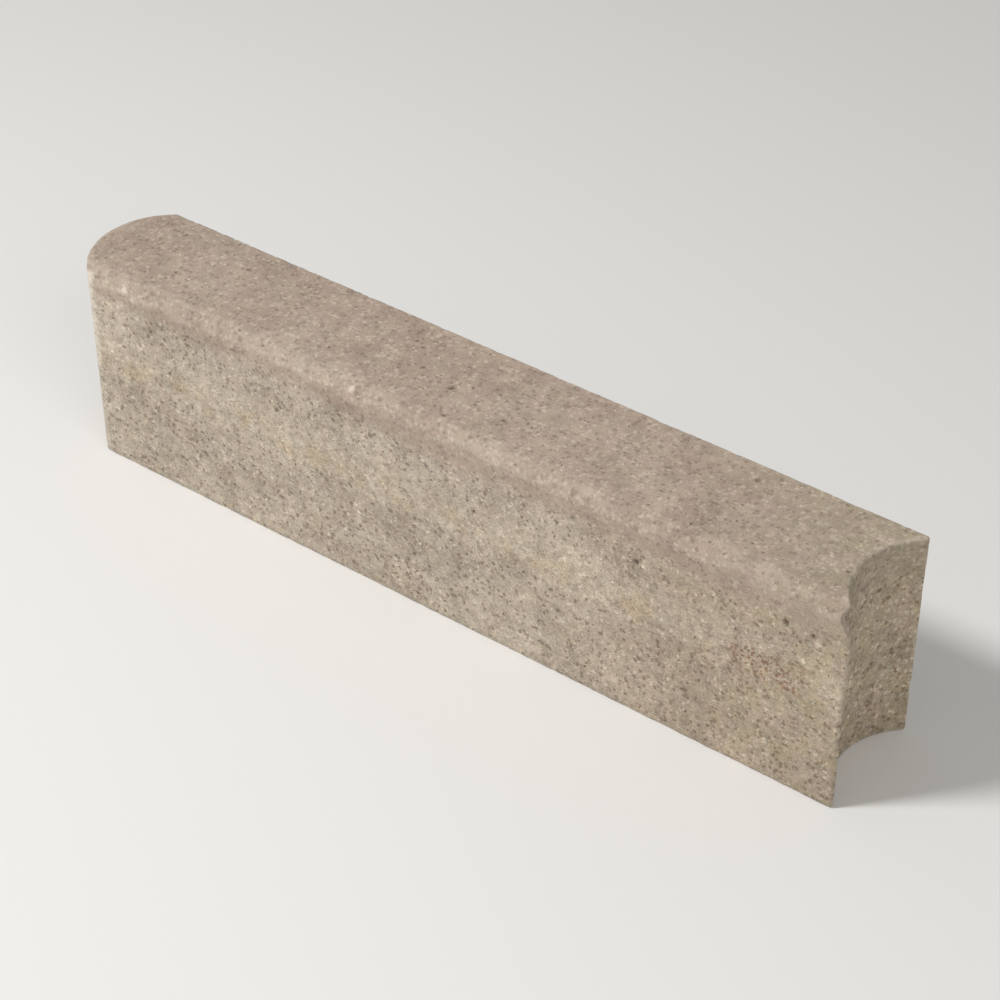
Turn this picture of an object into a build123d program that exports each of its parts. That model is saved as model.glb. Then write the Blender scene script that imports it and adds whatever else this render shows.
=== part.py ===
from build123d import *
import os

# Concrete garden kerb, cast in one piece, standing on its foot.
# One end is round and the other hollow, so that a row can be laid in a curve.
# Millimetres. X runs along the stone towards its hollow end, -Y is the front, Z is up.
# The origin is the middle of the underside.

# Overall size
STRAIGHT_LENGTH = 590.0  # each long side, from corner to corner
WIDTH = 88.0
HEIGHT = 150.0

# Ends
END_BULGE = 22.0         # how far the round end stands out, and the hollow end goes in

# Edges
EDGE_RADIUS = 12.0       # rounding of the top edge along the front
ARRIS = 2.0              # rounding of the end outlines and of the top edge along the back
FOOT_CHAMFER = 1.5       # worn bevel round the underside


def plan():
    """Two straight sides, an arc standing out at -X and the same arc going in at +X."""
    left, right = -STRAIGHT_LENGTH / 2, STRAIGHT_LENGTH / 2
    front, back = -WIDTH / 2, WIDTH / 2
    with BuildSketch() as sketch:
        with BuildLine():
            Line((left, front), (right, front))
            ThreePointArc((right, front), (right - END_BULGE, 0), (right, back))
            Line((right, back), (left, back))
            ThreePointArc((left, back), (left - END_BULGE, 0), (left, front))
        make_face()
    return sketch.sketch


def rounded_edge(block):
    """The large rounding along the top edge of the front."""
    top_edges = block.faces().sort_by(Axis.Z)[-1].edges()
    return fillet(top_edges.sort_by(Axis.Y)[0], EDGE_RADIUS)


def arrises(block):
    """Both end outlines and the straight top edge along the back."""
    end_faces = block.faces().filter_by(GeomType.CYLINDER).sort_by(Axis.Z)[:2]
    foot_edges = block.faces().sort_by(Axis.Z)[0].edges()
    outlines = [edge for face in end_faces for edge in face.edges() if edge not in foot_edges]
    top_edges = block.faces().sort_by(Axis.Z)[-1].edges()
    return fillet(outlines + [top_edges.sort_by(Axis.Y)[-1]], ARRIS)


def kerb_stone():
    """One cast piece, with the middle of its box over the origin."""
    block = arrises(rounded_edge(extrude(plan(), amount=HEIGHT)))
    block = chamfer(block.faces().sort_by(Axis.Z)[0].edges(), FOOT_CHAMFER)
    stone = Pos(-block.bounding_box().center().X, 0, 0) * block
    stone.label = "kerb_stone"
    return stone


os.makedirs("parts", exist_ok=True)
export_step(kerb_stone(), "parts/kerb_stone.step")
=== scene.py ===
from functools import partial, reduce
from typing import NamedTuple

import bpy
import numpy as np
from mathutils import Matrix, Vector


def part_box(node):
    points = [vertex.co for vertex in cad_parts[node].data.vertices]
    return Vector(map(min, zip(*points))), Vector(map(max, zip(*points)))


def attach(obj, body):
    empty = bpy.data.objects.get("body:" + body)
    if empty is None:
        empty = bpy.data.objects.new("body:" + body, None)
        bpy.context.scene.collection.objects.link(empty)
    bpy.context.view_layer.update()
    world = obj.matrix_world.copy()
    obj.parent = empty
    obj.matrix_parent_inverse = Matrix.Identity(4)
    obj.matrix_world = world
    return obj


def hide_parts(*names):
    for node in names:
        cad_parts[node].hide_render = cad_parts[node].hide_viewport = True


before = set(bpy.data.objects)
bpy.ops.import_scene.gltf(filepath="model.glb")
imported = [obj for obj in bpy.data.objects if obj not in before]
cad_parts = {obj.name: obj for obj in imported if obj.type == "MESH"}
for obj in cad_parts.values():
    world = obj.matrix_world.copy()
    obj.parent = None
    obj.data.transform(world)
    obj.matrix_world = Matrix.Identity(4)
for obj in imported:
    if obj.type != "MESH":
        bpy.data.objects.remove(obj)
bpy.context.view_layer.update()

# A cast concrete garden kerb: flat top, one large rounding along the front edge,
# a round left end and a hollow right end. Lengths are millimetres as far as the floor
# and the lamps, and become metres where a mesh or a shader takes them.
MM = 0.001
NODE = "kerb_stone"
box_low, box_high = (np.array(corner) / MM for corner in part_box(NODE))

# Form, as the stone was cast
STRAIGHT_LENGTH = 590.0   # each long side, from corner to corner
END_BULGE = 22.0          # the round end stands out and the hollow end goes in by this
EDGE_RADIUS = 12.0        # rounding of the top edge along the front
ARRIS = 2.0               # rounding of the end outlines and of the top edge along the back
FOOT_CHAMFER = 1.5        # worn bevel round the underside
SET_DEPTH = 79.0          # how much of the height was hidden once the stone was set

HALF_WIDTH = box_high[1]
FRONT = -HALF_WIDTH
HEIGHT = box_high[2]
LEFT = box_low[0] + END_BULGE
RIGHT = LEFT + STRAIGHT_LENGTH
HORN_TIP = box_high[0]    # how far the hollow end's two thin corners reach, once rounded
END_RADIUS = (HALF_WIDTH**2 + END_BULGE**2) / (2 * END_BULGE)
ROUND_CENTRE = LEFT - END_BULGE + END_RADIUS
HOLLOW_CENTRE = RIGHT - END_BULGE + END_RADIUS

# How finely the skin is divided
STEPS_ALONG = 380         # along each long side
STEPS_END = 64            # round each end arc
STEPS_CORNER = 4          # round each upright corner
STEPS_LOW_WALL = 22       # up the lower wall, which was hidden once the stone was set
STEPS_HIGH_WALL = 38      # up the wall above it, to the rounded edge
STEPS_EDGE = 6            # each half of the rounded edge
STEPS_UNDERSIDE = 3       # from the middle line of the underside to its rim
LEAST_CORNER = 0.25       # radius that is left of an upright corner where the top's arris ends
SPINE_MARGIN = 2.0        # how far the middle line ends before lines from it cross the hollow
SAME_PLACE_DECIMALS = 4   # points that agree to this many decimals are one
LEAST_DISTANCE = 1e-6     # used in place of a smaller one, so that nothing is divided by 0


class Relief(NamedTuple):
    """Noise in the skin: its depth, the width of its hills, how many noises it adds up and
    its seed. Where it makes pockets, also the noise at which they start and are deepest."""
    depth: float
    size: float
    octaves: int
    seed: int
    start: float = 0.0
    full: float = 1.0


class Nicks(NamedTuple):
    """Small chips on an arris: how many, the least and most radius of the balls that scoop
    them out and of how far a ball dips in, and how far the arris is rounded back."""
    count: int
    radius: tuple
    dip: tuple
    set_back: float


# The border of the two mixes
FACING_DEPTH = 20.0       # thickness of the fine facing mix, from the top down
BORDER_WAVES = Relief(depth=3.0, size=90.0, octaves=1, seed=3)
BORDER_RIPPLES = Relief(depth=2.0, size=23.0, octaves=1, seed=4)
BORDER_SLOPE = 5.0        # how much lower the border is at the hollow end than in the middle
BORDER_BELOW = 11.0       # the mixes blend from this far below the border
BORDER_ABOVE = 9.0        # to this far above it

# Casting marks
WAVES = Relief(depth=0.12, size=60.0, octaves=2, seed=11)
FINE_GRAIN = Relief(depth=0.05, size=4.5, octaves=1, seed=12)
SANDY_GRAIN = Relief(depth=0.14, size=6.0, octaves=2, seed=13)
UNFILLED = Relief(depth=0.7, size=7.5, octaves=2, seed=14, start=0.35, full=0.8)
UNFILLED_IN_FACING = 0.12  # how much of that depth the hollows have in the facing mix
AIR_HOLE_DEPTH = 1.3
AIR_HOLES = (             # x, y, z, radius
    (-6.0, -6.0, HEIGHT, 3.0), (8.0, -31.0, HEIGHT, 2.0), (-55.0, 22.0, HEIGHT, 2.1),
    (40.0, -14.0, HEIGHT, 1.8), (75.0, -8.0, HEIGHT, 1.8), (196.0, 29.0, HEIGHT, 2.4),
    (-34.0, 1.0, HEIGHT, 1.8), (-196.0, 20.0, HEIGHT, 1.7), (160.0, FRONT, 116.0, 3.1),
    (263.0, FRONT, 123.0, 2.9), (281.0, FRONT, 122.0, 2.3), (-120.0, FRONT, 104.0, 1.9),
    (40.0, FRONT, 97.0, 1.8), (-214.0, FRONT, 93.0, 2.0),
)
PALE_SPECKS = (           # x, y, z, radius
    (-251.0, FRONT + 2.0, 144.0, 3.6), (-243.0, FRONT + 1.0, 140.0, 2.8),
    (-58.0, FRONT + 3.0, 147.0, 3.0), (285.0, FRONT, 118.0, 2.4),
)
SPOT_EDGE = Relief(depth=0.35, size=2.2, octaves=1, seed=41)  # as a share of the spot's radius
SPOT_CORE = 0.35          # share of its radius over which a spot is full

# Wear, and the reaches of painted highlights
WIDE_CRUMBS = Relief(depth=0.5, size=9.0, octaves=1, seed=15, start=-0.1, full=0.9)
SMALL_CRUMBS = Relief(depth=0.35, size=4.0, octaves=1, seed=16, start=0.0, full=0.9)
LEAST_CRUMBLED = 0.1      # depth that every arris has lost
CRUMBLED_REACH = 1.7      # how far in from an arris it has crumbled
PALE_REACH = 2.2          # how far in from an arris it is rubbed pale and has a painted highlight
EDGE_STREAKS_FULL = 7.0         # the rounded edge is rubbed pale and has a painted highlight up to this far in and down, added up, and no longer at this
EDGE_STREAKS_GONE = 18.0        # and no longer at this
BROKEN_DEPTH = 7.6        # the chip out of the hollow end's front corner
BROKEN_HEIGHT = 142.5     # height of its middle
BROKEN_REACH = 8.0        # how far up and down from there it thins out
BROKEN_FACE = Relief(depth=0.35, size=4.5, octaves=2, seed=51)  # as a share of the chip's depth
TOP_NICKS = Nicks(count=26, radius=(2.5, 5.0), dip=(0.5, 1.1), set_back=0.6)
CORNER_NICKS = Nicks(count=14, radius=(2.0, 4.5), dip=(0.4, 1.0), set_back=0.3)
NICK_MARGIN = 15.0        # from the top nicks to the corners, and from the corner nicks to the top
NICK_FOOT_MARGIN = 10.0   # from the corner nicks to the foot

# Random numbers
SEED = 20
OCTAVE_SEED_STEP = 7      # between the seeds of the noises that are added up
CELL_SHIFT = 1000.0       # cells, which keeps all their indices positive
INDEX_FACTORS = (73856093, 19349663, 83492791)
SEED_FACTOR = 2654435761
MIXING_FACTOR = 1274126177
LOW_31_BITS = 0x7FFFFFFF
LOW_16_BITS = 0xFFFF


# Noise and small measures

def lattice_values(cell, seed):
    """A number from -1 to 1 for each whole-numbered cell: its three indices and the seed are
    multiplied by large whole numbers, mixed bit by bit, and the low bits are scaled."""
    along, across, up = (cell[..., axis] * factor for axis, factor in enumerate(INDEX_FACTORS))
    mixed = along ^ across ^ up ^ (seed * SEED_FACTOR)
    mixed = (mixed ^ (mixed >> 13)) * MIXING_FACTOR & LOW_31_BITS
    mixed = (mixed ^ (mixed >> 16)) & LOW_16_BITS
    return mixed / (LOW_16_BITS / 2) - 1.0


def noise(points, size, seed):
    """Smooth noise from -1 to 1 with hills about `size` wide: the eight lattice values
    round each point, blended by 3s^2 - 2s^3 of its share s of the cell along each axis."""
    scaled = points / size + CELL_SHIFT
    cell = np.floor(scaled).astype(np.int64)
    share = scaled - cell
    share = share * share * (3.0 - 2.0 * share)
    total = np.zeros(points.shape[:-1])
    for corner in np.ndindex(2, 2, 2):
        weight = np.prod(np.where(np.array(corner) == 1, share, 1.0 - share), axis=-1)
        total += weight * lattice_values(cell + corner, seed + SEED)
    return total


def layered_noise(points, relief):
    """The relief's noises added up, each half as wide and half as strong as the one before,
    and divided by their strengths added up."""
    total = sum(noise(points, relief.size / 2**octave, relief.seed + OCTAVE_SEED_STEP * octave) / 2**octave
                for octave in range(relief.octaves))
    return total / (2.0 - 2.0**(1 - relief.octaves))


def smoothstep(value, start, end):
    """0 before start, 1 after end, and 3s^2 - 2s^3 of the share s of the way between them."""
    share = np.clip((value - start) / (end - start), 0.0, 1.0)
    return share * share * (3.0 - 2.0 * share)


def swings(points, relief):
    """Relief both ways: the depth times the noise."""
    return relief.depth * layered_noise(points, relief)


def swells(points, relief):
    """Relief one way, from nothing to twice the depth: the depth times 1 + the noise."""
    return relief.depth * (1.0 + layered_noise(points, relief))


def pockets(points, relief):
    """Relief in pockets only: the depth times a smooth step of the noise."""
    return relief.depth * smoothstep(layered_noise(points, relief), relief.start, relief.full)


# The skin of the stone

def spread(start, end, steps):
    """Evenly spaced values from start to end on a new last axis, for arrays of both."""
    share = np.linspace(0.0, 1.0, steps + 1)
    return start[..., None] * (1.0 - share) + end[..., None] * share


def arc_points(centre_x, centre_y, radius, start, end, steps):
    """Points centre + radius * (cos a, sin a) as the angle a runs from start to end."""
    angle = spread(start, end, steps)
    x = centre_x[..., None] + radius[..., None] * np.cos(angle)
    y = centre_y[..., None] + radius[..., None] * np.sin(angle)
    return np.stack([x, y], axis=-1)


def side_points(start_x, end_x, y):
    """Points evenly spaced along a straight side at y, from start_x to end_x."""
    x = spread(start_x, end_x, STEPS_ALONG)
    return np.stack([x, np.broadcast_to(y[..., None], x.shape)], axis=-1)


def corner_circle(end_x, distance, y):
    """The centre of a rounded corner's circle, at the given y and `distance` to the left of
    the centre of the end's arc: its x, and the angle of the line between the two centres."""
    reach = np.sqrt(distance**2 - y**2)
    return end_x - reach, np.arctan2(y, reach)


def plan_outline(front, back, inset, corner):
    """The four stretches of the plan outline for arrays of levels: straight front, hollow
    end, straight back and round end. A corner circle lies `corner` in from its straight
    side, and its centre is R - corner from the round end's centre, or R + corner from the
    hollow end's, so it touches both, and the touching points end the straight sides."""
    round_x = np.full_like(front, ROUND_CENTRE)
    hollow_x = np.full_like(front, HOLLOW_CENTRE)
    middle_y = np.zeros_like(front)
    front_y = front + corner
    back_y = back - corner
    round_radius = END_RADIUS - inset
    hollow_radius = END_RADIUS + inset
    round_front_x, round_front_angle = corner_circle(round_x, round_radius - corner, front_y)
    round_back_x, round_back_angle = corner_circle(round_x, round_radius - corner, back_y)
    hollow_front_x, hollow_front_angle = corner_circle(hollow_x, hollow_radius + corner, front_y)
    hollow_back_x, hollow_back_angle = corner_circle(hollow_x, hollow_radius + corner, back_y)

    half_turn = np.pi
    quarter = np.full_like(front, np.pi / 2)
    front_turn = half_turn - round_front_angle
    back_turn = half_turn - round_back_angle
    hollow_arc = arc_points(hollow_x, middle_y, hollow_radius, half_turn - hollow_front_angle,
                            half_turn - hollow_back_angle, STEPS_END)
    hollow_side = np.concatenate([
        arc_points(hollow_front_x, front_y, corner, -quarter, -hollow_front_angle, STEPS_CORNER),
        hollow_arc[..., 1:-1, :],
        arc_points(hollow_back_x, back_y, corner, -hollow_back_angle, quarter, STEPS_CORNER),
    ], axis=-2)
    round_side = np.concatenate([
        arc_points(round_back_x, back_y, corner, quarter, back_turn, STEPS_CORNER),
        arc_points(round_x, middle_y, round_radius, back_turn, front_turn, STEPS_END)[..., 1:-1, :],
        arc_points(round_front_x, front_y, corner, front_turn, 3 * quarter, STEPS_CORNER),
    ], axis=-2)
    front_side = side_points(round_front_x, hollow_front_x, front)
    back_side = side_points(hollow_back_x, round_back_x, back)
    return front_side, hollow_side, back_side, round_side


def wall_levels():
    """Height, insets of front, back and ends, and corner radius for each level of the wall:
    the foot's bevel, the upright, then quarter circles of EDGE_RADIUS along the front and
    of ARRIS elsewhere, both ending level with the top."""
    spring = HEIGHT - EDGE_RADIUS
    arris_spring = HEIGHT - ARRIS
    low_wall = np.linspace(FOOT_CHAMFER, SET_DEPTH, STEPS_LOW_WALL + 1)
    high_wall = np.linspace(SET_DEPTH, spring, STEPS_HIGH_WALL + 1)[1:]
    lower_turn = np.linspace(0.0, np.arcsin((arris_spring - spring) / EDGE_RADIUS), STEPS_EDGE + 1)[1:]
    upper_turn = np.linspace(0.0, np.pi / 2, STEPS_EDGE + 1)[1:]
    height = np.concatenate([
        [0.0], low_wall, high_wall, spring + EDGE_RADIUS * np.sin(lower_turn),
        arris_spring + ARRIS * np.sin(upper_turn),
    ])
    rise = np.clip((height - spring) / EDGE_RADIUS, 0.0, 1.0)
    arris_rise = np.clip((height - arris_spring) / ARRIS, 0.0, 1.0)
    bevel = np.clip(FOOT_CHAMFER - height, 0.0, None)
    front_inset = bevel + EDGE_RADIUS * (1.0 - np.sqrt(1.0 - rise**2))
    other_inset = bevel + ARRIS * (1.0 - np.sqrt(1.0 - arris_rise**2))
    corner = np.clip(ARRIS - other_inset, LEAST_CORNER, None)
    return height, front_inset, other_inset, corner


def filled_patch(front_side, right_side, back_side, left_side):
    """A grid filling four joined curves: the blend across, plus the blend along, less the
    blend of the four corners. All run left to right or front to back."""
    along = np.linspace(0.0, 1.0, front_side.shape[0])[:, None, None]
    across = np.linspace(0.0, 1.0, left_side.shape[0])[None, :, None]
    between_sides = front_side[:, None] * (1 - across) + back_side[:, None] * across
    between_ends = left_side[None] * (1 - along) + right_side[None] * along
    corners = (
        front_side[0] * (1 - along) * (1 - across) + front_side[-1] * along * (1 - across)
        + back_side[0] * (1 - along) * across + back_side[-1] * along * across
    )
    return between_sides + between_ends - corners


def wall_grid(stretches, height):
    """The stretches of the outline joined into one loop, each level at its height."""
    loop = np.concatenate([stretch[:, :-1] for stretch in stretches], axis=1)
    return np.concatenate([loop, np.broadcast_to(height[:, None, None], loop.shape[:2] + (1,))], axis=-1)


def top_grid(stretches):
    """The flat top, which fills the outline's last level."""
    front_side, hollow_side, back_side, round_side = (stretch[-1] for stretch in stretches)
    patch = filled_patch(front_side, hollow_side, back_side[::-1], round_side[::-1])
    return np.concatenate([patch, np.full(patch.shape[:2] + (1,), HEIGHT)], axis=-1)


def underside_grid(rim):
    """Straight lines from the foot's outline to the underside's middle line, which ends where
    the hollow end's tangents from its corners meet, so that no line crosses the hollow."""
    spine = rim * [1.0, 0.0, 0.0]
    horn_tangent = HALF_WIDTH**2 / (END_RADIUS - END_BULGE)
    spine[:, 0] = np.clip(spine[:, 0], LEFT, RIGHT - horn_tangent - SPINE_MARGIN)
    share = np.linspace(0.0, 1.0, STEPS_UNDERSIDE + 1)[None, :, None]
    return spine[:, None] * (1.0 - share) + rim[:, None] * share


def grid_faces(rows, columns, first, close_rows):
    """Corner numbers of the quads of a grid of rows x columns points, numbered row by row
    from `first`; with close_rows the last row joins the first one again."""
    row = np.arange(rows if close_rows else rows - 1)[:, None]
    column = np.arange(columns - 1)[None, :]
    next_row = (row + 1) % rows
    corners = [row * columns + column, next_row * columns + column,
               next_row * columns + column + 1, row * columns + column + 1]
    return np.stack(np.broadcast_arrays(*corners), axis=-1).reshape(-1, 4) + first


def stone_skin():
    """Points and quads of the stone before any relief: the plan outline carried up the
    wall's levels as a closed grid, the top as an open one and the underside as a closed one."""
    height, front_inset, other_inset, corner = wall_levels()
    stretches = plan_outline(front_inset - HALF_WIDTH, HALF_WIDTH - other_inset, other_inset, corner)
    wall = wall_grid(stretches, height)
    grids = (
        (wall.transpose(1, 0, 2), True),
        (top_grid(stretches), False),
        (underside_grid(wall[0]), True),
    )
    points, faces = [], []
    for grid, closed in grids:
        first = sum(len(block) for block in points)
        faces.append(grid_faces(grid.shape[0], grid.shape[1], first, closed))
        points.append(grid.reshape(-1, 3))
    return np.concatenate(points), np.concatenate(faces)


def mesh_from_arrays(name, points, faces):
    """A mesh of quads; one with two of its corners merged becomes a triangle."""
    kept = faces != np.roll(faces, 1, axis=1)
    corners = kept.sum(axis=1)
    mesh = bpy.data.meshes.new(name)
    mesh.vertices.add(len(points))
    mesh.vertices.foreach_set("co", (points * MM).astype(np.float32).ravel())
    mesh.loops.add(int(corners.sum()))
    mesh.loops.foreach_set("vertex_index", faces[kept].astype(np.int32))
    mesh.polygons.add(len(faces))
    mesh.polygons.foreach_set("loop_start", (np.cumsum(corners) - corners).astype(np.int32))
    mesh.update(calc_edges=True)
    mesh.validate()
    return mesh


def merged_grids(points, faces):
    """The same surface with points that share a place made one: places are rounded, and each
    different one is kept once."""
    rounded = np.round(points, SAME_PLACE_DECIMALS)
    _, first, number = np.unique(rounded, axis=0, return_index=True, return_inverse=True)
    return points[first], number.reshape(-1)[faces]


def skin_normals(points, faces):
    """The outward direction at each point, as a mesh of the faces has it."""
    mesh = mesh_from_arrays("smooth_kerb", points, faces)
    normals = np.zeros(len(points) * 3, np.float32)
    mesh.vertex_normals.foreach_get("vector", normals)
    bpy.data.meshes.remove(mesh)
    return normals.reshape(-1, 3).astype(float)


# Places on the skin

def face_distances(points):
    """Depth of each point below each face of the stone: the rounded front and top as one,
    the back, the underside, the round end and the hollow end."""
    x, y, z = points.T
    front, top = y + HALF_WIDTH, HEIGHT - z
    past_front, past_top = EDGE_RADIUS - front, EDGE_RADIUS - top
    in_rounding = (past_front > 0) & (past_top > 0)
    front_top = np.where(in_rounding, EDGE_RADIUS - np.hypot(past_front, past_top), np.minimum(front, top))
    round_end = END_RADIUS - np.hypot(x - ROUND_CENTRE, y)
    round_end = np.where(x < ROUND_CENTRE, round_end, END_RADIUS)
    hollow_end = np.hypot(x - HOLLOW_CENTRE, y) - END_RADIUS
    return np.stack([front_top, HALF_WIDTH - y, z, round_end, hollow_end], axis=-1)


def arris_share(points, reach):
    """1 on an arris, falling off by a bell curve of the reach: at a point on one face, the
    second smallest of its depths below the faces is its distance to the nearest arris."""
    distance = np.sort(face_distances(points), axis=-1)[:, 1]
    return np.exp(-(distance / reach)**2)


def facing_share(points):
    """1 in the fine facing mix on top and 0 in the coarse mix below, by a smooth step of the
    height over a border that waves, ripples, and slopes down towards the hollow end."""
    border = HEIGHT - FACING_DEPTH + swings(points, BORDER_WAVES) + swings(points, BORDER_RIPPLES)
    border = border - BORDER_SLOPE * points[:, 0] / RIGHT
    return smoothstep(points[:, 2], border - BORDER_BELOW, border + BORDER_ABOVE)


def spot_share(points, spots):
    """1 in the middle of any of the spots (x, y, z, radius) and 0 outside all of them, by a
    smooth step of the distance; noise makes each one uneven."""
    share = np.zeros(len(points))
    uneven = 1.0 + swings(points, SPOT_EDGE)
    for *centre, radius in spots:
        distance = np.linalg.norm(points - np.array(centre), axis=-1) * uneven
        share = np.maximum(share, 1.0 - smoothstep(distance, SPOT_CORE * radius, radius))
    return share


def rounded_share(points):
    """1 in the middle of the rounded edge and 0 from a few millimetres beyond it: each
    point's distance in from the front and down from the top, added up, and stepped."""
    in_and_down = points[:, 1] + HALF_WIDTH + HEIGHT - points[:, 2]
    return 1.0 - smoothstep(in_and_down, EDGE_STREAKS_FULL, EDGE_STREAKS_GONE)


# Casting marks and wear

def worn(points, normals):
    """The skin with its casting marks and wear, all of it inwards: shallow waves, a grainy
    surface that is rough in the coarse mix and fine in the facing mix, hollows where the
    coarse mix wasn't filled, arrises that have crumbled most where the noise is high, and
    air holes. Their depths are added up, and each point moves in by that along its normal."""
    coarse = 1.0 - facing_share(points)
    waves = swells(points, WAVES)
    fine = swells(points, FINE_GRAIN)
    sandy = swells(points, SANDY_GRAIN) * coarse
    hollows = pockets(points, UNFILLED) * (UNFILLED_IN_FACING + (1.0 - UNFILLED_IN_FACING) * coarse)
    ragged = pockets(points, WIDE_CRUMBS) + pockets(points, SMALL_CRUMBS)
    crumbled = arris_share(points, CRUMBLED_REACH) * (LEAST_CRUMBLED + ragged)
    pits = AIR_HOLE_DEPTH * spot_share(points, AIR_HOLES)
    depth = waves + fine + sandy + hollows + crumbled + pits
    above_underside = points[:, 2] > 0.0
    return points - normals * (depth * above_underside)[:, None]


def scooped(points, centre, radius):
    """A chip broken out as a shell-shaped scoop: points inside a ball move out along its
    radii to its surface, which dents a surface that the ball dips into."""
    away = points - centre
    distance = np.linalg.norm(away, axis=-1, keepdims=True)
    pushed_out = centre + away / np.maximum(distance, LEAST_DISTANCE) * radius
    return np.where(distance < radius, pushed_out, points)


def broken_tip(points):
    """The chip out of the hollow end's thin front corner: its surface stands back from the
    tip by a bell curve of the height, roughened by noise, and points beyond it slide back to
    it along the middle of the corner's wedge."""
    x, y, z = points.T
    depth = BROKEN_DEPTH * np.exp(-((z - BROKEN_HEIGHT) / BROKEN_REACH)**2)
    rough = 1.0 + swings(points, BROKEN_FACE)
    beyond = np.clip(x - (HORN_TIP - depth * rough), 0.0, None) * (y < 0.0)
    wedge_angle = np.arctan2(END_RADIUS - END_BULGE, HALF_WIDTH)
    return points + beyond[:, None] * np.array([-1.0, np.tan(wedge_angle / 2), 0.0])


def drawn_ball(draw, nicks):
    """A random ball for one nick: its radius, and how far its centre lies beyond the arris
    along each of two square faces, which is (radius - dip) over the root of 2."""
    radius = draw.uniform(*nicks.radius)
    dip = draw.uniform(*nicks.dip)
    return radius, (radius - dip) / np.sqrt(2.0)


def nicked(points):
    """Small scoops at random places, first along the top edge of the back, and then up the
    upright corners."""
    draw = np.random.default_rng(SEED)
    for _ in range(TOP_NICKS.count):
        radius, reach = drawn_ball(draw, TOP_NICKS)
        along = draw.uniform(LEFT + NICK_MARGIN, HORN_TIP - NICK_MARGIN)
        across = HALF_WIDTH - TOP_NICKS.set_back + reach
        height = HEIGHT - TOP_NICKS.set_back + reach
        points = scooped(points, np.array([along, across, height]), radius)
    for _ in range(CORNER_NICKS.count):
        radius, reach = drawn_ball(draw, CORNER_NICKS)
        side = draw.choice([-1.0, 1.0])
        outward = draw.choice([-1.0, 1.0])
        along = (LEFT if outward < 0 else HORN_TIP) + outward * reach
        across = side * (HALF_WIDTH - CORNER_NICKS.set_back + reach)
        height = draw.uniform(NICK_FOOT_MARGIN, HEIGHT - NICK_MARGIN)
        points = scooped(points, np.array([along, across, height]), radius)
    return points


def kerb_mesh():
    """The finished skin: grids, merged, worn, chipped, and kept inside the stone's box. Its
    attributes say where the mixes and the marks are, by the smooth skin's points."""
    points, faces = merged_grids(*stone_skin())
    finished = nicked(broken_tip(worn(points, skin_normals(points, faces))))
    mesh = mesh_from_arrays("cast_kerb", np.clip(finished, box_low, box_high), faces)
    mesh.polygons.foreach_set("use_smooth", np.ones(len(faces), bool))
    for name, values in (
        ("facing_mix", facing_share(points)),
        ("arris_wear_and_highlight", arris_share(points, PALE_REACH)),
        ("rounded_edge", rounded_share(points)),
        ("air_holes", spot_share(points, AIR_HOLES)),
        ("pale_specks", spot_share(points, PALE_SPECKS)),
    ):
        layer = mesh.attributes.new(name, "FLOAT", "POINT")
        layer.data.foreach_set("value", values.astype(np.float32))
    return mesh


# Materials

def linear(red, green, blue):
    """An sRGB colour of 0 to 255 as the linear values that shaders take: a straight line for
    the darkest, and a power of 2.4 above it, as the standard gives them."""
    share = np.array([red, green, blue]) / 255.0
    values = np.where(share <= 0.04045, share / 12.92, ((share + 0.055) / 1.055)**2.4)
    return (*values.tolist(), 1.0)


class Texture(NamedTuple):
    """A noise in a shader: the width of its hills in millimetres, its octaves, how strong
    each octave is beside the one before, and a shift in metres that sets it off from others."""
    size: float
    octaves: float
    roughness: float
    shift: float = 0.0


class Tint(NamedTuple):
    """A colour laid over another one: not at all where a noise is at `start`, and by the
    whole strength where it is at `full`."""
    colour: tuple
    start: float
    full: float
    strength: float


class ByMix(NamedTuple):
    """A value in the fine facing mix and in the coarse core mix."""
    facing: float
    core: float


# Noises of the concrete
CLOUDS = Texture(size=60.0, octaves=3.0, roughness=0.55)
BROAD_TONES = Texture(size=26.0, octaves=2.0, roughness=0.5, shift=1.93)
BLOTCHES = Texture(size=16.0, octaves=3.0, roughness=0.6, shift=0.31)
GREY_PATCHES = Texture(size=11.0, octaves=2.0, roughness=0.55, shift=0.93)
MOTTLE = Texture(size=6.5, octaves=3.0, roughness=0.65, shift=0.57)
GRAIN = Texture(size=1.5, octaves=2.0, roughness=0.65, shift=0.77)
BORDER_EDGE = Texture(size=3.4, octaves=3.0, roughness=0.65)
SAND_EDGE = Texture(size=1.7, octaves=2.0, roughness=0.6, shift=0.23)
RUST_BLOTS = Texture(size=9.0, octaves=2.0, roughness=0.6, shift=1.37)
RUST_SPECKS = Texture(size=2.4, octaves=2.0, roughness=0.6, shift=2.11)
PORES = Texture(size=3.0, octaves=2.0, roughness=0.5, shift=1.13)
PORE_PATCHES = Texture(size=24.0, octaves=2.0, roughness=0.5, shift=1.71)

# Plain colours of the dry concrete
FACING_DARK = linear(166, 147, 133)
FACING_LIGHT = linear(175, 158, 143)
CORE_DARK = linear(170, 156, 142)
CORE_LIGHT = linear(187, 174, 158)
CORE_BROWN = linear(175, 157, 136)
CORE_DUST = linear(205, 192, 172)
SAND_PALE = linear(219, 208, 190)
SAND_BUFF = linear(201, 183, 156)
SAND_DARK = linear(108, 94, 80)
SAND_RED = linear(140, 103, 80)
# painted shade in the pores and air holes
PORE_SHADE_COLOUR = linear(80, 67, 56)
# pale of worn concrete, which also stands for painted highlights
PALE_WEAR_AND_HIGHLIGHT = linear(203, 192, 176)
# palest: the pale specks, and the painted highlight on the round end's front corner
PALEST_SPECK_AND_HIGHLIGHT = linear(220, 209, 194)

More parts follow.
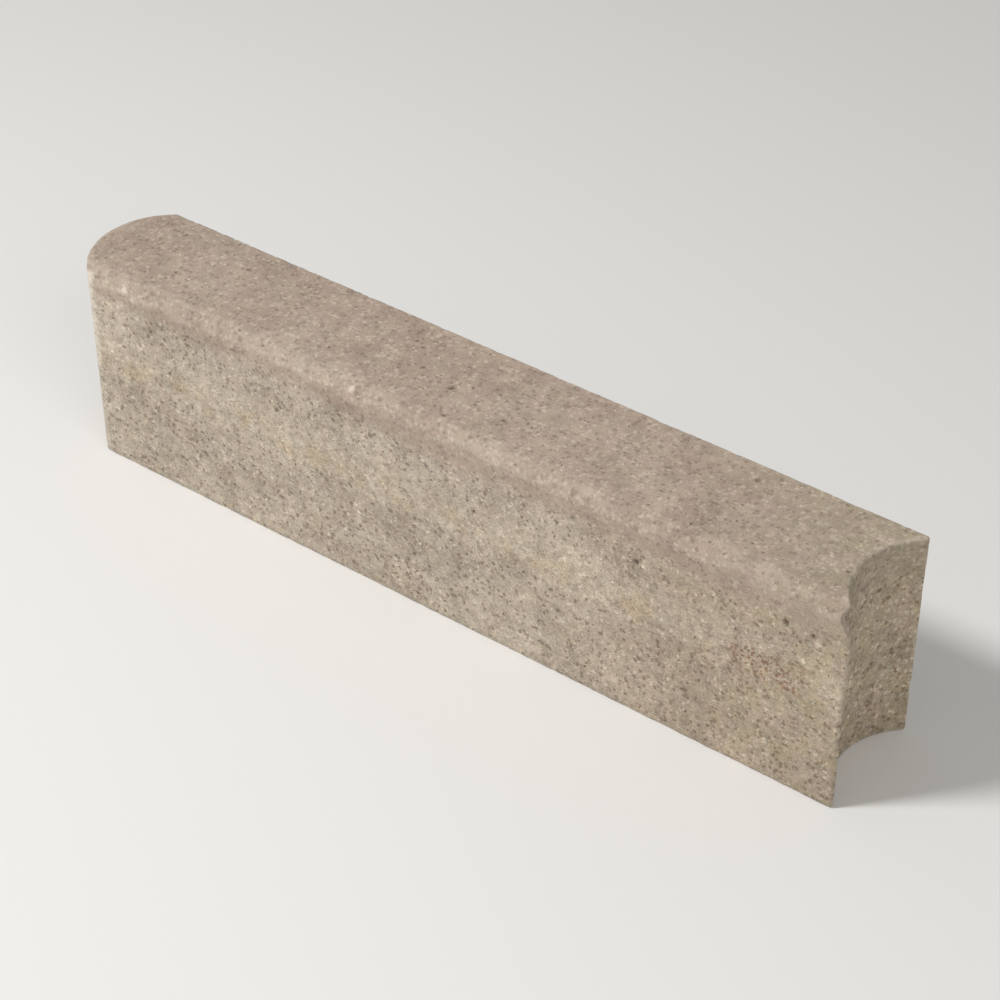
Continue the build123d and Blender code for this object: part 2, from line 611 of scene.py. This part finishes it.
# Tints that follow a noise
FACING_BUFF = Tint(linear(173, 160, 139), start=0.48, full=0.70, strength=0.35)
FACING_GREEN = Tint(linear(162, 151, 128), start=0.30, full=0.62, strength=0.75)
CORE_OCHRE = Tint(linear(184, 169, 147), start=0.45, full=0.70, strength=0.50)
CORE_GREY = Tint(linear(197, 188, 171), start=0.42, full=0.68, strength=0.38)
CORE_OLIVE = Tint(linear(175, 163, 132), start=0.40, full=0.62, strength=0.50)
OCHRE_STAIN = Tint(linear(180, 153, 116), start=0.42, full=0.66, strength=0.32)
# arrises: rubbed pale, and a painted highlight
ARRIS_WEAR_AND_HIGHLIGHT = Tint(PALE_WEAR_AND_HIGHLIGHT, start=0.30, full=0.55, strength=0.45)
# streaks along the rounded edge: rubbed pale, and a painted highlight
RUBBED_EDGE_AND_HIGHLIGHT = Tint(PALE_WEAR_AND_HIGHLIGHT, start=0.40, full=0.66, strength=0.22)

# Strengths of the other colours
CORE_BROWN_STRENGTH = 0.6
DUST_STRENGTH = 0.42
DUSTY_SAND_STRENGTH = 0.45
PALE_SAND_STRENGTH = ByMix(facing=0.28, core=0.68)
DARK_SAND_STRENGTH = ByMix(facing=0.36, core=0.58)
RUST_WASH = 0.08          # rust between the specks
RUST_FULL = 0.80          # rust in a speck
# painted shade in the pores and air holes
PORE_SHADE_STRENGTH = 0.62
AIR_HOLE_SHADE_STRENGTH = 0.85
PALE_SPECK_STRENGTH = 0.85
CORNER_LOW = 0.25         # painted highlight on the round end's front corner, near the foot
CORNER_HIGH = 0.90        # and above the set depth

# Noise values between which a thing starts and is full
CLOUD_RANGE = (0.34, 0.66)
MIX_RANGE = (0.10, 0.90)
SAND_RANGE = (0.66, 0.48)         # distance from a grain's middle, as a share of its cell
PALE_SAND_RANGE = (0.62, 0.72)    # of each grain's own random number
DARK_SAND_RANGE = (0.28, 0.19)
PORE_RANGE = (0.0, 0.035)         # over the threshold
RUST_RANGE = (0.73, 0.84)
CORNER_RANGE = (0.66, 1.02)       # of grain and mottle added up

# Sizes of the sand, pores, rust, and the rubbed streaks with their painted highlight
BORDER_SWING = 1.0                # how far noise moves the border, as a share of its blend
SAND_CELL = 3.0                   # one grain of sand has a cell about this wide, which is a width
SAND_SWING = 1.2                  # how far noise moves a grain's outline in all, as such a width
SAND_SHRINK = 0.22                # how much smaller the smallest grains are, as such a width
PORE_THRESHOLD = ByMix(facing=0.755, core=0.725)
PORE_CROWDING = 0.06              # how much lower it is where pores crowd
RUST_BLOTS_WEIGHT = 0.5           # of the blots, where the specks weigh 1
STREAK_LENGTH = 13.0
STREAK_WIDTH = 4.2

# Places where a colour starts and where it is full, in millimetres
GREEN_ALONG = (150.0, 300.0)      # greener facing at the hollow end
GREEN_LEAN = 0.8                  # how far ahead it is for each millimetre towards the back
BROWN_ALONG = (40.0, 230.0)       # browner core towards the hollow end
OLIVE_ALONG = (170.0, 290.0)      # and an olive tint
ROUND_TOP_ALONG = (-90.0, -230.0)
ROUND_TOP_UP = (HEIGHT - 8.0, HEIGHT - 1.0)
ROUND_TOP_DARKER = 0.045          # the top is a little darker at the round end
# where the painted highlight on the round end's front corner lies
CORNER_ALONG = (LEFT + 5.5, LEFT + 1.0)
CORNER_ACROSS = (FRONT + 4.5, FRONT + 1.5)
CORNER_UP = (SET_DEPTH - 24.0, SET_DEPTH + 6.0)
STAIN_ACROSS = (0.0, -20.0)       # on the front's side only
FRONT_ACROSS = (0.0, -30.0)       # for the dust and the rust

# Bands, in millimetres: on each side of one, where it starts and where it is full
RUST_ALONG = ((216.0, 238.0), (288.0, 268.0))
STAIN_ABOVE_SET = ((-9.0, 1.0), (19.0, 5.0))
DUST_ABOVE_SET = ((-13.0, 3.0), (39.0, 9.0))
RUST_ABOVE_SET = ((-12.0, -2.0), (22.0, 11.0))
LEVEL_SWING = 20.0                # how far those three wave, from their lowest to their highest

# Light and dark: a level, and how strongly each noise adds to it
TONE_LEVEL = ByMix(facing=0.47, core=0.165)
TONE_FROM_MOTTLE = ByMix(facing=0.60, core=1.10)
TONE_FROM_BROAD = ByMix(facing=0.45, core=0.56)
SPECKLE_LEVEL = ByMix(facing=0.65, core=0.50)
SPECKLE_FROM_GRAIN = ByMix(facing=0.70, core=1.00)

# Fine relief and gloss
FINE_RELIEF = 0.6                 # millimetres for a height of 1
RELIEF_FROM_GRAIN = ByMix(facing=0.35, core=0.90)
RELIEF_FROM_MOTTLE = ByMix(facing=0.50, core=1.10)
RELIEF_FROM_SAND = ByMix(facing=0.0, core=0.35)
PORE_DEPTH = 1.1                  # as such a height
CONCRETE_ROUGHNESS = 0.93
CONCRETE_SPECULAR = 0.25
FLOOR_COLOUR = (0.80, 0.79, 0.77, 1.0)
FLOOR_ROUGHNESS = 0.9


class Shader:
    """Short forms for the nodes of one material. They take sockets and plain values alike,
    and give back the socket that holds the result."""

    def __init__(self, name):
        """A new material, its surface shader, and the place on the piece."""
        self.material = bpy.data.materials.new(name)
        self.material.use_nodes = True
        self.tree = self.material.node_tree
        self.surface = self.tree.nodes["Principled BSDF"]
        self.place = self.node("TexCoord").outputs["Object"]

    def node(self, kind):
        """A new node of a kind, which is its type's name after "ShaderNode"."""
        return self.tree.nodes.new("ShaderNode" + kind)

    def feed(self, source, socket):
        """Links a socket to its source, or sets it to a plain value."""
        if isinstance(source, bpy.types.NodeSocket):
            self.tree.links.new(source, socket)
        else:
            socket.default_value = source

    def math(self, operation, *values):
        """One operation of the Math node on the values."""
        node = self.node("Math")
        node.operation = operation
        for value, socket in zip(values, node.inputs):
            self.feed(value, socket)
        return node.outputs[0]

    def product(self, *values):
        """All the values multiplied together."""
        return reduce(partial(self.math, "MULTIPLY"), values)

    def total(self, *values):
        """All the values added up."""
        return reduce(partial(self.math, "ADD"), values)

    def swung(self, value, swing):
        """A value from 0 to 1 as a swing to both sides of 0: swing * value - swing / 2."""
        return self.math("MULTIPLY_ADD", value, swing, -swing / 2)

    def between(self, share, low, high):
        """A share from 0 to 1 as a value from low to high: share * (high - low) + low."""
        return self.math("MULTIPLY_ADD", share, high - low, low)

    def step(self, value, start, full, unit=1.0):
        """Smoothly from 0 where the value is `start` to 1 where it is `full`, which may be the
        smaller of the two. The unit is MM where they are millimetres."""
        node = self.node("MapRange")
        node.interpolation_type = "SMOOTHSTEP"
        falling = start > full
        self.feed(value, node.inputs["Value"])
        node.inputs["From Min"].default_value = min(start, full) * unit
        node.inputs["From Max"].default_value = max(start, full) * unit
        node.inputs["To Min"].default_value = 1.0 if falling else 0.0
        node.inputs["To Max"].default_value = 0.0 if falling else 1.0
        return node.outputs["Result"]

    def band(self, place, rise, fall):
        """1 between two places and 0 beyond them: a rising step times a falling one."""
        return self.product(self.step(place, *rise, MM), self.step(place, *fall, MM))

    def axes(self):
        """X, Y and Z of the place on the piece, in metres."""
        parts = self.node("SeparateXYZ")
        self.feed(self.place, parts.inputs[0])
        return parts.outputs["X"], parts.outputs["Y"], parts.outputs["Z"]

    def shifted(self, shift):
        """The place on the piece, moved by the shift along each axis."""
        if not shift:
            return self.place
        node = self.node("Mapping")
        node.inputs["Location"].default_value = (shift, shift, shift)
        self.feed(self.place, node.inputs["Vector"])
        return node.outputs["Vector"]

    def noise(self, texture):
        """Noise from 0 to 1, with hills as wide as the texture's size."""
        node = self.node("TexNoise")
        node.inputs["Scale"].default_value = 1.0 / (texture.size * MM)
        node.inputs["Detail"].default_value = texture.octaves
        node.inputs["Roughness"].default_value = texture.roughness
        self.feed(self.shifted(texture.shift), node.inputs["Vector"])
        return node.outputs["Fac"]

    def streaks(self, along, across):
        """Noise from 0 to 1 drawn out along X, in millimetres along and across."""
        drawn_out = self.node("Mapping")
        finely = 1.0 / (across * MM)
        drawn_out.inputs["Scale"].default_value = (1.0 / (along * MM), finely, finely)
        self.feed(self.place, drawn_out.inputs["Vector"])
        node = self.node("TexNoise")
        node.inputs["Scale"].default_value = 1.0
        self.feed(drawn_out.outputs["Vector"], node.inputs["Vector"])
        return node.outputs["Fac"]

    def cells(self, size):
        """Cells about `size` millimetres wide round scattered points: the distance to the
        cell's point as a share of the size, and two random numbers for each cell."""
        node = self.node("TexVoronoi")
        node.inputs["Scale"].default_value = 1.0 / (size * MM)
        self.feed(self.place, node.inputs["Vector"])
        parts = self.node("SeparateColor")
        self.feed(node.outputs["Color"], parts.inputs["Color"])
        return node.outputs["Distance"], parts.outputs["Red"], parts.outputs["Green"]

    def attribute(self, name):
        """A value that the mesh keeps for each of its points."""
        node = self.node("Attribute")
        node.attribute_name = name
        return node.outputs["Fac"]

    def mix(self, share, first, second):
        """The first colour where the share is 0, the second where it is 1."""
        node = self.node("Mix")
        node.data_type = "RGBA"
        colour_inputs = [socket for socket in node.inputs if socket.type == "RGBA"]
        self.feed(share, node.inputs["Factor"])
        self.feed(first, colour_inputs[0])
        self.feed(second, colour_inputs[1])
        return next(socket for socket in node.outputs if socket.type == "RGBA")

    def laid(self, base, colour, strength, *shares):
        """A colour laid over the base, by the product of the shares and the strength."""
        return self.mix(self.product(*shares, strength), base, colour)

    def tinted(self, base, tint, noise, *shares):
        """A tint laid over the base where its noise is high, and by the shares as well."""
        return self.laid(base, tint.colour, tint.strength, self.step(noise, tint.start, tint.full), *shares)

    def scaled(self, colour, share):
        """A colour times a number."""
        node = self.node("VectorMath")
        node.operation = "SCALE"
        self.feed(colour, node.inputs[0])
        self.feed(share, node.inputs["Scale"])
        return node.outputs[0]

    def bump(self, height, depth):
        """A bump that is `depth` millimetres high for a height of 1."""
        node = self.node("Bump")
        node.inputs["Distance"].default_value = depth * MM
        node.inputs["Strength"].default_value = 1.0
        self.feed(height, node.inputs["Height"])
        self.feed(node.outputs["Normal"], self.surface.inputs["Normal"])


class CastConcrete(Shader):
    """Facing mix, fine and pinkish grey-brown, over a coarser and more yellow sandy mix,
    with patches of stain and rust in a band just above the set depth."""

    def __init__(self):
        """The places, noises, grains and pores that several layers share."""
        super().__init__("cast_concrete")
        self.x, self.y, self.z = self.axes()
        self.clouds = self.step(self.noise(CLOUDS), *CLOUD_RANGE)
        self.blotches = self.noise(BLOTCHES)
        self.mottle = self.noise(MOTTLE)
        self.grain = self.noise(GRAIN)
        ragged = self.swung(self.noise(BORDER_EDGE), BORDER_SWING)
        self.facing = self.step(self.total(self.attribute("facing_mix"), ragged), *MIX_RANGE)
        self.coarse = self.math("SUBTRACT", 1.0, self.facing)
        waving = self.swung(self.mottle, LEVEL_SWING * MM)
        self.level = self.total(self.z, waving, -SET_DEPTH * MM)
        self.sand_tint, self.pale_sand, self.dark_sand = self.sand_grains()
        self.pores = self.open_pores()

    def by_mix(self, value):
        """A value that goes over from the facing mix's to the core's where the mixes do."""
        return self.between(self.coarse, value.facing, value.core)

    def sand_grains(self):
        """A random tint for each grain, and where the pale and the dark grains are. A grain is
        where the distance to its cell's point is small, once noise has made it ragged and its
        tint has made it smaller. Another random number picks the pale and the dark ones."""
        distance, tint, pick = self.cells(SAND_CELL)
        ragged = self.swung(self.noise(SAND_EDGE), SAND_SWING)
        distance = self.total(distance, ragged, self.product(tint, SAND_SHRINK))
        grain = self.step(distance, *SAND_RANGE)
        pale = self.product(grain, self.step(pick, *PALE_SAND_RANGE))
        dark = self.product(grain, self.step(pick, *DARK_SAND_RANGE))
        return tint, pale, dark

    def open_pores(self):
        """Pores where a fine noise rises over a threshold, which is lower where they crowd."""
        crowding = self.product(self.noise(PORE_PATCHES), PORE_CROWDING)
        threshold = self.math("SUBTRACT", self.by_mix(PORE_THRESHOLD), crowding)
        return self.step(self.math("SUBTRACT", self.noise(PORES), threshold), *PORE_RANGE)

    def facing_colour(self):
        """Clouds of two browns, buff blotches, green ones at the hollow end, a little sand."""
        colour = self.mix(self.clouds, FACING_DARK, FACING_LIGHT)
        colour = self.tinted(colour, FACING_BUFF, self.blotches)
        leaning = self.math("MULTIPLY_ADD", self.y, GREEN_LEAN, self.x)
        colour = self.tinted(colour, FACING_GREEN, self.blotches, self.step(leaning, *GREEN_ALONG, MM))
        colour = self.laid(colour, SAND_PALE, PALE_SAND_STRENGTH.facing, self.pale_sand)
        return self.laid(colour, SAND_DARK, DARK_SAND_STRENGTH.facing, self.dark_sand)

    def core_colour(self):
        """Clouds of two paler browns, ochre blotches and grey patches, browner and more olive
        towards the hollow end, and plenty of sand in four colours."""
        colour = self.mix(self.clouds, CORE_DARK, CORE_LIGHT)
        colour = self.tinted(colour, CORE_OCHRE, self.blotches)
        colour = self.tinted(colour, CORE_GREY, self.noise(GREY_PATCHES))
        colour = self.laid(colour, CORE_BROWN, CORE_BROWN_STRENGTH, self.step(self.x, *BROWN_ALONG, MM))
        colour = self.tinted(colour, CORE_OLIVE, self.blotches, self.step(self.x, *OLIVE_ALONG, MM))
        pale_colour = self.mix(self.sand_tint, SAND_PALE, SAND_BUFF)
        dark_colour = self.mix(self.sand_tint, SAND_DARK, SAND_RED)
        colour = self.laid(colour, pale_colour, PALE_SAND_STRENGTH.core, self.pale_sand)
        return self.laid(colour, dark_colour, DARK_SAND_STRENGTH.core, self.dark_sand)

    def stained(self, colour):
        """Pale dust, ochre stains and cleaner sand grains in bands on the front."""
        dust = self.product(self.band(self.level, *DUST_ABOVE_SET), self.step(self.y, *FRONT_ACROSS, MM))
        stain = self.product(self.band(self.level, *STAIN_ABOVE_SET), self.step(self.y, *STAIN_ACROSS, MM))
        colour = self.laid(colour, CORE_DUST, DUST_STRENGTH, dust)
        colour = self.tinted(colour, OCHRE_STAIN, self.blotches, stain)
        return self.laid(colour, SAND_PALE, DUSTY_SAND_STRENGTH, self.pale_sand, dust)

    def rusted(self, colour):
        """A rusty patch near the hollow end: a faint wash, and specks in it where a wide noise
        and a fine one are high together."""
        place = self.product(self.band(self.x, *RUST_ALONG), self.band(self.level, *RUST_ABOVE_SET),
                             self.step(self.y, *FRONT_ACROSS, MM))
        blots = self.product(self.noise(RUST_BLOTS), RUST_BLOTS_WEIGHT)
        specks = self.step(self.total(blots, self.noise(RUST_SPECKS)), *RUST_RANGE)
        return self.mix(self.product(place, self.between(specks, RUST_WASH, RUST_FULL)), colour, SAND_RED)

    def shaded(self, colour):
        """The colour times a tone, which is a level plus mottle and broad tones by their
        strengths, times a speckle, which is a level plus grain by its strength, and a little
        darker on the top at the round end."""
        tone = self.total(
            self.by_mix(TONE_LEVEL),
            self.product(self.mottle, self.by_mix(TONE_FROM_MOTTLE)),
            self.product(self.noise(BROAD_TONES), self.by_mix(TONE_FROM_BROAD)),
        )
        speckle = self.total(
            self.by_mix(SPECKLE_LEVEL),
            self.product(self.grain, self.by_mix(SPECKLE_FROM_GRAIN)),
        )
        round_top = self.product(
            self.step(self.x, *ROUND_TOP_ALONG, MM),
            self.step(self.z, *ROUND_TOP_UP, MM),
        )
        top_share = self.between(round_top, 1.0, 1.0 - ROUND_TOP_DARKER)
        return self.scaled(colour, self.product(tone, speckle, top_share))

    def pits_with_painted_shade(self, colour):
        """Pores and air holes, darkened with painted shade."""
        # painted shade in the pores
        colour = self.laid(colour, PORE_SHADE_COLOUR, PORE_SHADE_STRENGTH, self.pores)
        # painted shade in the air holes
        return self.laid(colour, PORE_SHADE_COLOUR, AIR_HOLE_SHADE_STRENGTH, self.attribute("air_holes"))

    def corner_highlight(self):
        """How strongly a highlight is painted on the round end's front corner: in a narrow upright
        strip, broken up by grain and mottle, and stronger above the set depth."""
        strip = self.product(self.step(self.x, *CORNER_ALONG, MM), self.step(self.y, *CORNER_ACROSS, MM))
        broken_up = self.step(self.total(self.grain, self.mottle), *CORNER_RANGE)
        strength = self.between(self.step(self.z, *CORNER_UP, MM), CORNER_LOW, CORNER_HIGH)
        return self.product(strip, broken_up, strength)

    def worn_and_highlighted(self, colour):
        """Paler where it has worn and where a highlight is painted: arrises, worn and with a painted
        highlight; the round end's front corner, a painted highlight; streaks along the rounded edge,
        worn and with a painted highlight; and a few specks."""
        streaks = self.streaks(STREAK_LENGTH, STREAK_WIDTH)
        # arrises rubbed pale, with a painted highlight as well
        colour = self.tinted(colour, ARRIS_WEAR_AND_HIGHLIGHT, self.mottle, self.attribute("arris_wear_and_highlight"))
        # painted highlight up the round end's front corner
        colour = self.mix(self.corner_highlight(), colour, PALEST_SPECK_AND_HIGHLIGHT)
        # streaks along the rounded edge: rubbed pale, with a painted highlight
        colour = self.tinted(colour, RUBBED_EDGE_AND_HIGHLIGHT, streaks, self.attribute("rounded_edge"))
        return self.laid(colour, PALEST_SPECK_AND_HIGHLIGHT, PALE_SPECK_STRENGTH, self.attribute("pale_specks"))

    def fine_relief(self):
        """Grain, mottle and sand added up by their strengths, less the pores."""
        sand = self.math("MAXIMUM", self.pale_sand, self.dark_sand)
        raised = self.total(
            self.product(self.grain, self.by_mix(RELIEF_FROM_GRAIN)),
            self.product(self.mottle, self.by_mix(RELIEF_FROM_MOTTLE)),
            self.product(sand, self.by_mix(RELIEF_FROM_SAND)),
        )
        return self.math("SUBTRACT", raised, self.product(self.pores, PORE_DEPTH))


def cast_concrete():
    """The stone's one material: the two mixes' colours, light and dark, holes darkened with painted
    shade, and wear with painted highlights in turn, with a fine relief and hardly any gloss."""
    concrete = CastConcrete()
    core = concrete.rusted(concrete.stained(concrete.core_colour()))
    colour = concrete.mix(concrete.facing, core, concrete.facing_colour())
    colour = concrete.worn_and_highlighted(concrete.pits_with_painted_shade(concrete.shaded(colour)))
    concrete.feed(colour, concrete.surface.inputs["Base Color"])
    concrete.surface.inputs["Roughness"].default_value = CONCRETE_ROUGHNESS
    concrete.surface.inputs["Specular IOR Level"].default_value = CONCRETE_SPECULAR
    concrete.bump(concrete.fine_relief(), FINE_RELIEF)
    return concrete.material


def studio_floor_finish():
    """A plain, pale and matt floor."""
    floor_shader = Shader("studio_floor")
    floor_shader.surface.inputs["Base Color"].default_value = FLOOR_COLOUR
    floor_shader.surface.inputs["Roughness"].default_value = FLOOR_ROUGHNESS
    return floor_shader.material


# Building it

def placed(name, data):
    """A new object in the scene, at the origin."""
    thing = bpy.data.objects.new(name, data)
    bpy.context.scene.collection.objects.link(thing)
    return thing


kerb = placed("cast_kerb", kerb_mesh())
kerb.data.materials.append(cast_concrete())
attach(kerb, "root")
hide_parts(NODE)


# Floor, light and camera, in metres from here on

FLOOR_HALF = 4.0
STONE_MIDDLE = (0.0, 0.0, HEIGHT / 2 * MM)
WORLD_COLOUR = (1.0, 0.99, 0.97, 1.0)
WORLD_STRENGTH = 0.34

# The eye is where the photograph was taken from, measured from the stone
EYE = (0.799, -1.019, 1.062)
AIM = (0.018, 0.012, 0.062)
LENS = 92.0               # millimetres, on a sensor of SENSOR_WIDTH
SENSOR_WIDTH = 36.0


def floor_square():
    """A level square at height 0 with the stone in its middle."""
    corners = [(-FLOOR_HALF, -FLOOR_HALF, 0), (FLOOR_HALF, -FLOOR_HALF, 0),
               (FLOOR_HALF, FLOOR_HALF, 0), (-FLOOR_HALF, FLOOR_HALF, 0)]
    mesh = bpy.data.meshes.new("studio_floor")
    mesh.from_pydata(corners, [], [(0, 1, 2, 3)])
    return mesh


def aimed(thing, place, target):
    """Puts an object at a place, with its -Z axis towards the target and +Y upwards."""
    thing.location = place
    thing.rotation_euler = (Vector(target) - Vector(place)).to_track_quat("-Z", "Y").to_euler()


def soft_lamp(name, place, diameter, power):
    """A round lamp of a diameter and a power in watts, aimed at the stone."""
    lamp_data = bpy.data.lights.new(name, "AREA")
    lamp_data.shape = "DISK"
    lamp_data.size = diameter
    lamp_data.energy = power
    aimed(placed(name, lamp_data), place, STONE_MIDDLE)


floor = placed("studio_floor", floor_square())
floor.data.materials.append(studio_floor_finish())

soft_lamp("key", place=(-0.95, -1.25, 2.15), diameter=0.5, power=46.0)
soft_lamp("fill", place=(1.8, -1.0, 1.6), diameter=1.6, power=13.0)

world = bpy.data.worlds.new("studio")
bpy.context.scene.world = world
world.use_nodes = True
background = world.node_tree.nodes["Background"]
background.inputs["Color"].default_value = WORLD_COLOUR
background.inputs["Strength"].default_value = WORLD_STRENGTH

camera_data = bpy.data.cameras.new("camera")
camera_data.lens = LENS
camera_data.sensor_width = SENSOR_WIDTH
camera = placed("camera", camera_data)
aimed(camera, EYE, AIM)
bpy.context.scene.camera = camera

bpy.context.scene.view_settings.view_transform = "Standard"
